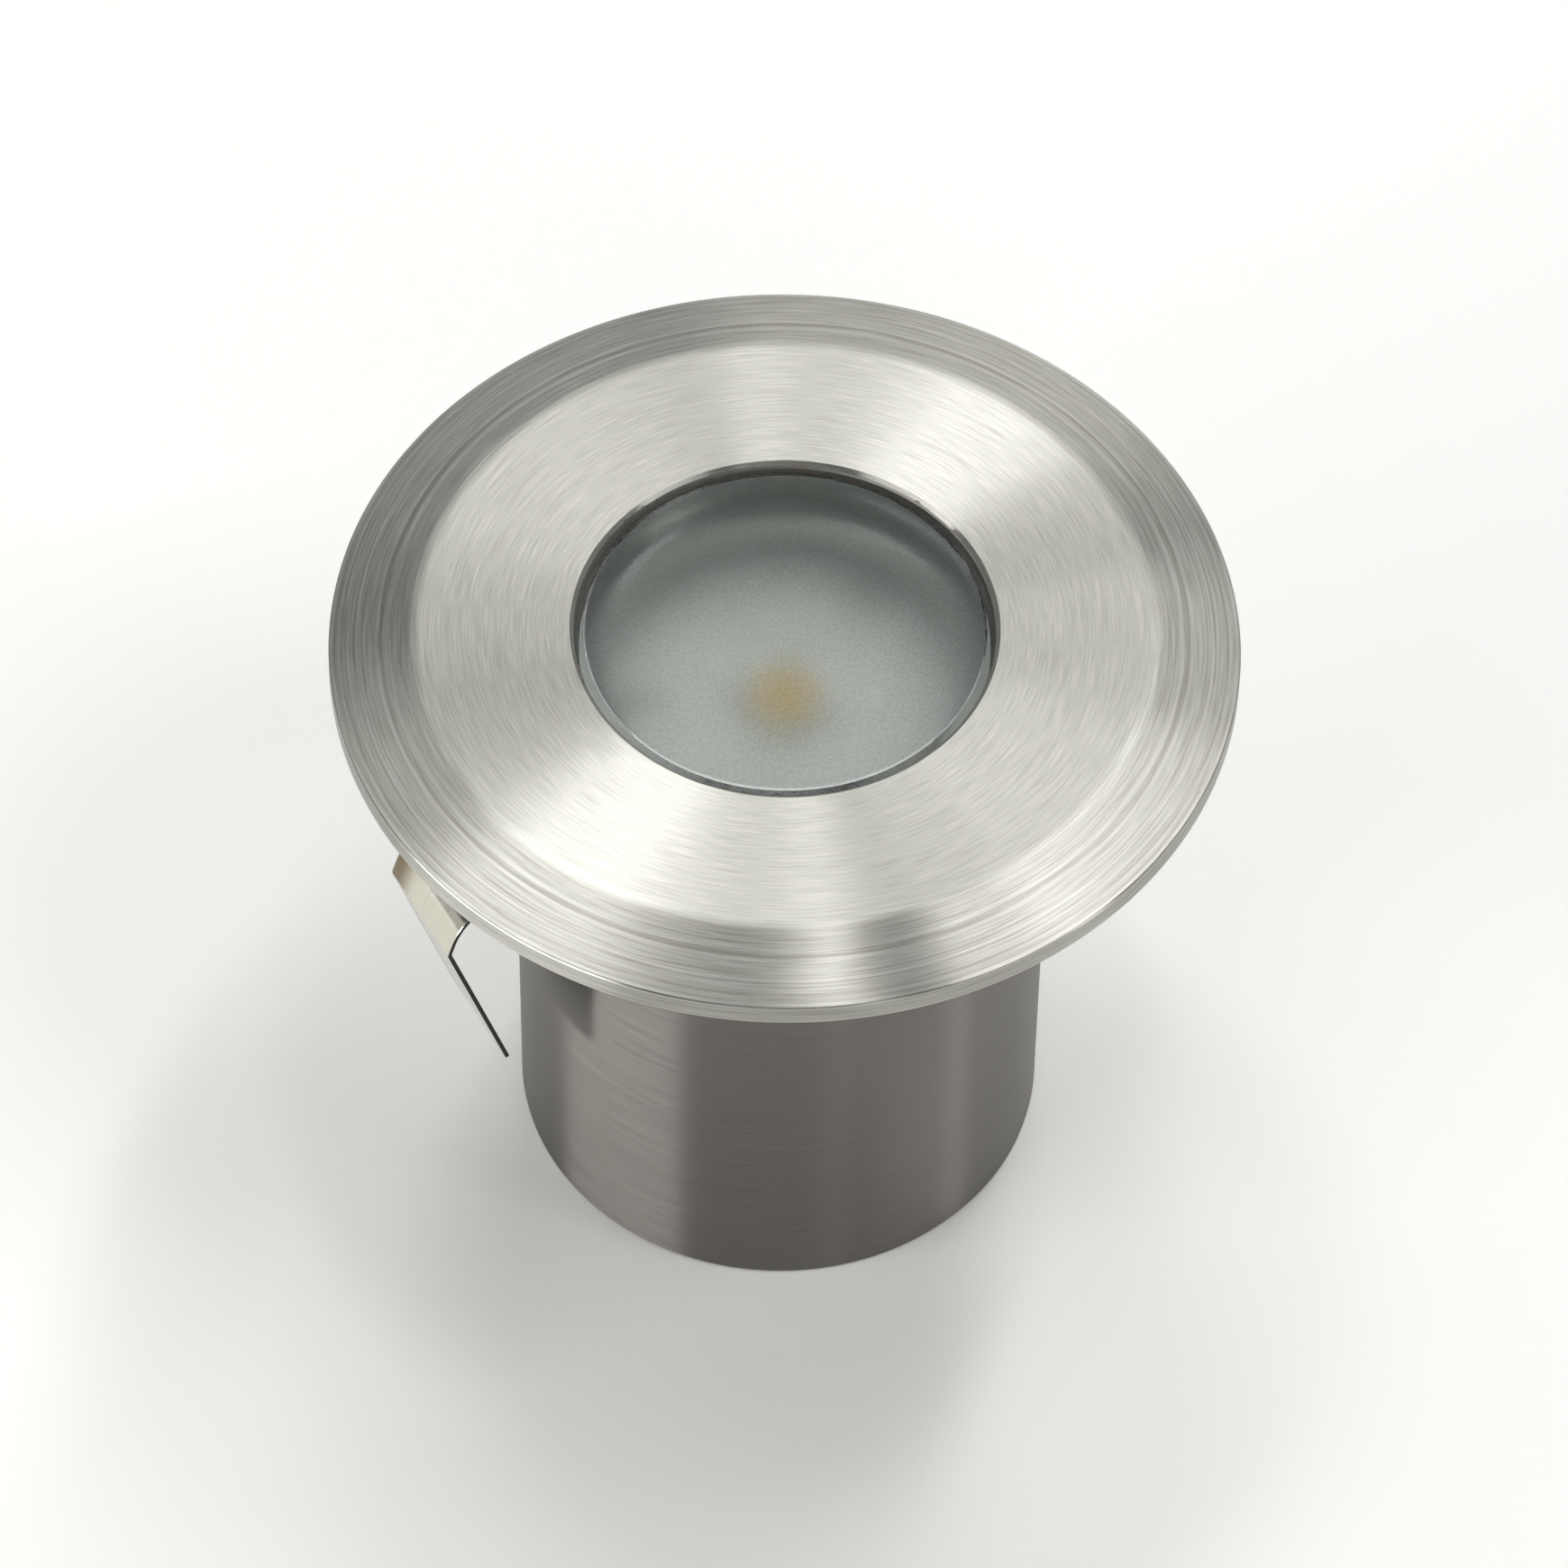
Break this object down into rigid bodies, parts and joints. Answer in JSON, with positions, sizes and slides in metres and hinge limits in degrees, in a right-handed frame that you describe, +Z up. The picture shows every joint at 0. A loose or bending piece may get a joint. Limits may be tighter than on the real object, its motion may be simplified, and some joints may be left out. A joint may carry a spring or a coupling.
{
  "type": "recessed deck light",
  "caption": "Round recessed deck light: bevelled stainless bezel with frosted glass over an LED, cylindrical housing, and side spring clips that grip the hole it sits in.",
  "frame": {"origin": "centre of the bezel's underside, where its outer land rests on the deck's surface", "axes": "+Z up along the light's axis, out of the deck; X through the two spring clips"},
  "size_m": [0.06, 0.06, 0.049],
  "materials": {
    "turned_stainless": "circular brushed",
    "spring_steel": "rolled strip",
    "screw_steel": "plain",
    "frosted_glass": "frosted",
    "clear_silicone": "gloss",
    "white_silicone": "matt",
    "black_rubber": "matt",
    "dark_plastic": "moulded",
    "white_board": "solder mask",
    "white_ceramic": "fired",
    "yellow_phosphor": "silicone",
    "grey_pad": "soft",
    "aluminium": "turned",
    "white_insulation": "extruded",
    "green_board": "solder mask",
    "brass": "turned",
    "ferrite": "pressed",
    "copper_wire": "enamelled",
    "black_sleeve": "shrunk sleeve",
    "black_resin": "moulded",
    "green_plastic": "moulded",
    "plated_brass": "nickel plated"
  },
  "bodies": {
    "light": {"bezel": "turned_stainless", "housing": "turned_stainless", "lens_glass": "frosted_glass", "lens_sealant": "clear_silicone", "lens_gasket": "black_rubber", "bezel_o_ring": "black_rubber", "spacer_ring": "dark_plastic", "led_board": "white_board", "led_substrate": "white_ceramic", "led_dam": "white_silicone", "led_phosphor": "yellow_phosphor", "thermal_pad": "grey_pad", "heat_sink": "aluminium", "led_lead_positive": "white_insulation", "led_lead_negative": "white_insulation", "driver_standoffs": "brass", "driver_screws": "screw_steel", "driver_board": "green_board", "inductor_core": "ferrite", "inductor_winding": "copper_wire", "driver_capacitor": "black_sleeve", "driver_chip": "black_resin", "driver_diodes": "black_resin", "terminal_block": "green_plastic", "terminal_screws": "screw_steel", "gland_seal": "black_rubber", "gland_washer": "screw_steel", "gland_nut": "plated_brass", "clip_screws": "screw_steel", "clip_foot_left": "spring_steel", "clip_foot_right": "spring_steel"},
    "left_clip_spring": {"clip_leaf_left": "spring_steel"},
    "right_clip_spring": {"clip_leaf_right": "spring_steel"}
  },
  "joints": [
    {"name": "left_clip_flex", "type": "hinge", "parent": "light", "child": "left_clip_spring", "pos_m": [-0.019, 0, -0.0056], "axis": [0, -1, 0], "range_deg": [0, 13], "stiffness_Nm_per_rad": 0.2},
    {"name": "right_clip_flex", "type": "hinge", "parent": "light", "child": "right_clip_spring", "pos_m": [0.019, 0, -0.0056], "axis": [0, 1, 0], "range_deg": [0, 13], "stiffness_Nm_per_rad": 0.2}
  ]
}
